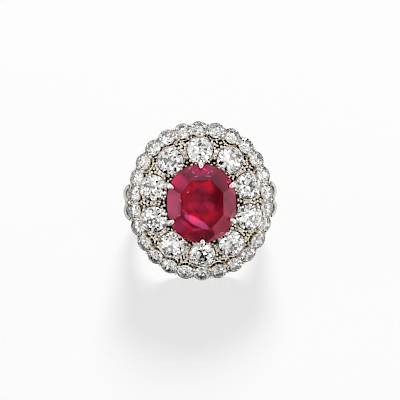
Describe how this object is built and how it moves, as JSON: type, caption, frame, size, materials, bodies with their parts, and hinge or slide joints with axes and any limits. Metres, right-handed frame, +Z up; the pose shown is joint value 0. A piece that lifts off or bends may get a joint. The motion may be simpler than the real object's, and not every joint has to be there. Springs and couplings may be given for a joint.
{
  "type": "ruby and diamond ring",
  "caption": "Cluster ring with an oval ruby in claws, a round of diamonds and a grain-set diamond border on a raised white-gold mounting with a tapered shank, lying on its side",
  "frame": {"origin": "On the surface the ring rests on, under the middle of its box", "axes": "+Z up; the head faces -Y and upwards, tipped back about 27 degrees; +X is to the viewer's right when facing the head"},
  "size_m": [0.021, 0.025, 0.0201],
  "materials": {
    "white_gold": "polished white gold, slightly warm, darker with wear and dust in the gaps between the collets",
    "ruby": "cut and polished ruby, deep pinkish red",
    "diamond": "cut and polished colourless diamond"
  },
  "bodies": {
    "root": {"mounting": "white_gold", "ruby": "ruby", "round_diamond_01": "diamond", "round_diamond_02": "diamond", "round_diamond_03": "diamond", "round_diamond_04": "diamond", "round_diamond_05": "diamond", "round_diamond_06": "diamond", "round_diamond_07": "diamond", "round_diamond_08": "diamond", "round_diamond_09": "diamond", "round_diamond_10": "diamond", "border_diamond_01": "diamond", "border_diamond_02": "diamond", "border_diamond_03": "diamond", "border_diamond_04": "diamond", "border_diamond_05": "diamond", "border_diamond_06": "diamond", "border_diamond_07": "diamond", "border_diamond_08": "diamond", "border_diamond_09": "diamond", "border_diamond_10": "diamond", "border_diamond_11": "diamond", "border_diamond_12": "diamond", "border_diamond_13": "diamond", "border_diamond_14": "diamond", "border_diamond_15": "diamond", "border_diamond_16": "diamond", "border_diamond_17": "diamond", "border_diamond_18": "diamond", "border_diamond_19": "diamond", "border_diamond_20": "diamond", "border_diamond_21": "diamond", "border_diamond_22": "diamond", "border_diamond_23": "diamond", "border_diamond_24": "diamond", "border_diamond_25": "diamond", "border_diamond_26": "diamond"}
  },
  "joints": []
}
